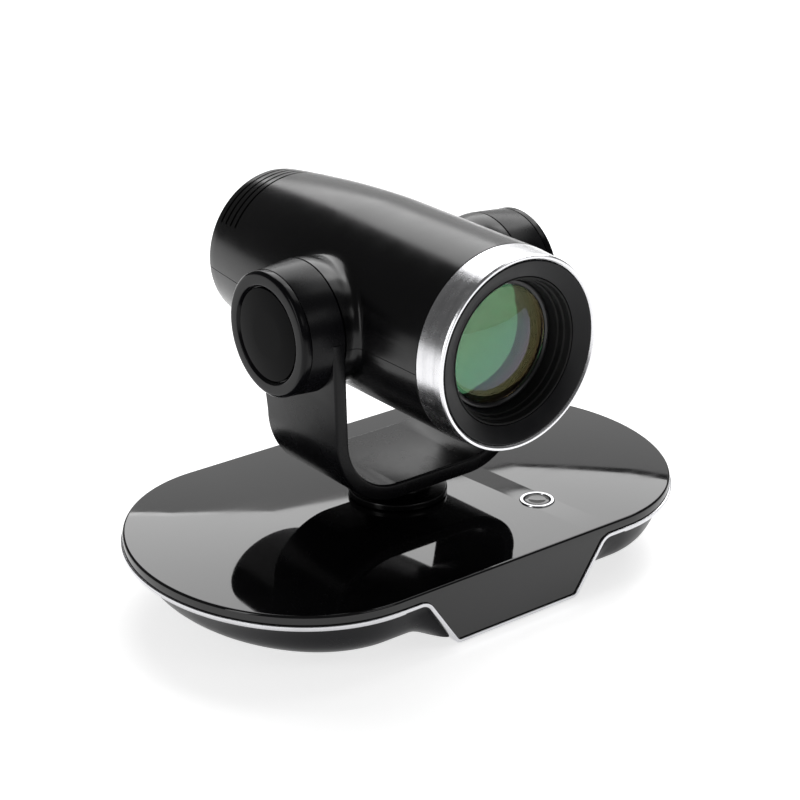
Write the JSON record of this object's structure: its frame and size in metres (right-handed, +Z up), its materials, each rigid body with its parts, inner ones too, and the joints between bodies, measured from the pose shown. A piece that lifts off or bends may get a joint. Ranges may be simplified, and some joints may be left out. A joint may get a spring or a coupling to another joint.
{
  "type": "ptz camera",
  "caption": "Pan-tilt-zoom meeting camera: oval base with a glossy top, U-shaped panning yoke, and a tilting barrel head with an aluminium lens ring.",
  "frame": {"origin": "where the pan axis meets the flat underside of the base plate; the feet stand 2.5 mm lower", "axes": "+Z up along the pan axis, -Y ahead out of the lens, +X across the base to the camera's own left"},
  "size_m": [0.2616, 0.1753, 0.1666],
  "materials": {
    "gloss_black": "polished black, mirror-like",
    "satin_black": "satin black paint on moulded plastic",
    "yoke_paint": "satin charcoal paint",
    "dark_grey_plastic": "fine satin",
    "bright_trim": "bright satin chrome",
    "turned_aluminium": "turned, brushed round the axis",
    "cast_aluminium": "as cast",
    "steel": "plain",
    "brass": "machined",
    "rubber": "matte",
    "circuit_board": "solder mask",
    "nylon": "moulded nylon",
    "matte_black": "flat black against stray light",
    "lens_glass": "coated optical glass"
  },
  "bodies": {
    "base": {"top_cover": "gloss_black", "trim_strip": "bright_trim", "front_panel": "gloss_black", "lower_shell": "satin_black", "base_plate": "steel", "tripod_bush": "brass", "foot_front_left": "rubber", "foot_back_left": "rubber", "foot_front_right": "rubber", "foot_back_right": "rubber", "main_board": "circuit_board", "window_board": "circuit_board", "remote_receiver": "matte_black", "status_light": "nylon", "socket_plate": "steel", "power_socket": "steel", "video_socket": "steel", "usb_socket": "steel", "network_socket": "steel", "button_ring": "bright_trim", "button_switch": "matte_black", "pan_motor": "steel", "pan_bearing": "steel"},
    "button": {"push_button": "gloss_black"},
    "pan_pinion": {"pan_pinion": "brass"},
    "yoke": {"yoke": "yoke_paint", "hub_housing_left": "yoke_paint", "hub_housing_right": "yoke_paint", "pan_flange": "satin_black", "pan_shaft": "steel", "pan_gear": "nylon", "hub_cap_left": "satin_black", "hub_cap_right": "satin_black", "cap_disc_left": "gloss_black", "cap_disc_right": "gloss_black", "tilt_motor": "steel", "tilt_bearing_left": "steel", "tilt_bearing_right": "steel"},
    "tilt_pinion": {"tilt_pinion": "brass"},
    "head": {"head_upper_shell": "satin_black", "head_lower_shell": "satin_black", "rear_cover": "dark_grey_plastic", "front_ring": "turned_aluminium", "bezel": "dark_grey_plastic", "baffle": "matte_black", "front_lens": "lens_glass", "lens_retaining_ring": "dark_grey_plastic", "lens_barrel": "matte_black", "lens_chassis": "cast_aluminium", "tilt_shaft_left": "steel", "tilt_shaft_right": "steel", "tilt_gear": "nylon", "guide_rod_left": "steel", "guide_rod_right": "steel", "image_sensor_board": "circuit_board", "video_board": "circuit_board"},
    "zoom_group": {"zoom_carriage": "matte_black", "zoom_lens": "lens_glass"},
    "focus_group": {"focus_carriage": "matte_black", "focus_lens": "lens_glass"}
  },
  "joints": [
    {"name": "pan", "type": "hinge", "parent": "base", "child": "yoke", "pos_m": [0, 0, 0.031], "axis": [0, 0, 1], "range_deg": [-110, 110]},
    {"name": "tilt", "type": "hinge", "parent": "yoke", "child": "head", "pos_m": [0, 0, 0.1218], "axis": [1, 0, 0], "range_deg": [-30, 30]},
    {"name": "button_press", "type": "slide", "parent": "base", "child": "button", "axis": [0, 0, -1], "range_m": [0, 0.0006], "stiffness_N_per_m": 1200, "springref_m": -0.0005},
    {"name": "pan_pinion_spin", "type": "hinge", "parent": "base", "child": "pan_pinion", "pos_m": [-0.02819, -0.01026, 0.0125], "axis": [0, 0, 1], "range_deg": [-331, 331]},
    {"name": "tilt_pinion_spin", "type": "hinge", "parent": "yoke", "child": "tilt_pinion", "pos_m": [0.057, 0, 0.1398], "axis": [1, 0, 0], "range_deg": [-61, 61]},
    {"name": "zoom_slide", "type": "slide", "parent": "head", "child": "zoom_group", "axis": [0, -1, 0], "range_m": [-0.016, 0.024]},
    {"name": "focus_slide", "type": "slide", "parent": "head", "child": "focus_group", "axis": [0, -1, 0], "range_m": [-0.012, 0.012]}
  ],
  "couplings": [
    {"joint": "pan_pinion_spin", "follows": "pan", "ratio": -3},
    {"joint": "tilt_pinion_spin", "follows": "tilt", "ratio": -2}
  ]
}
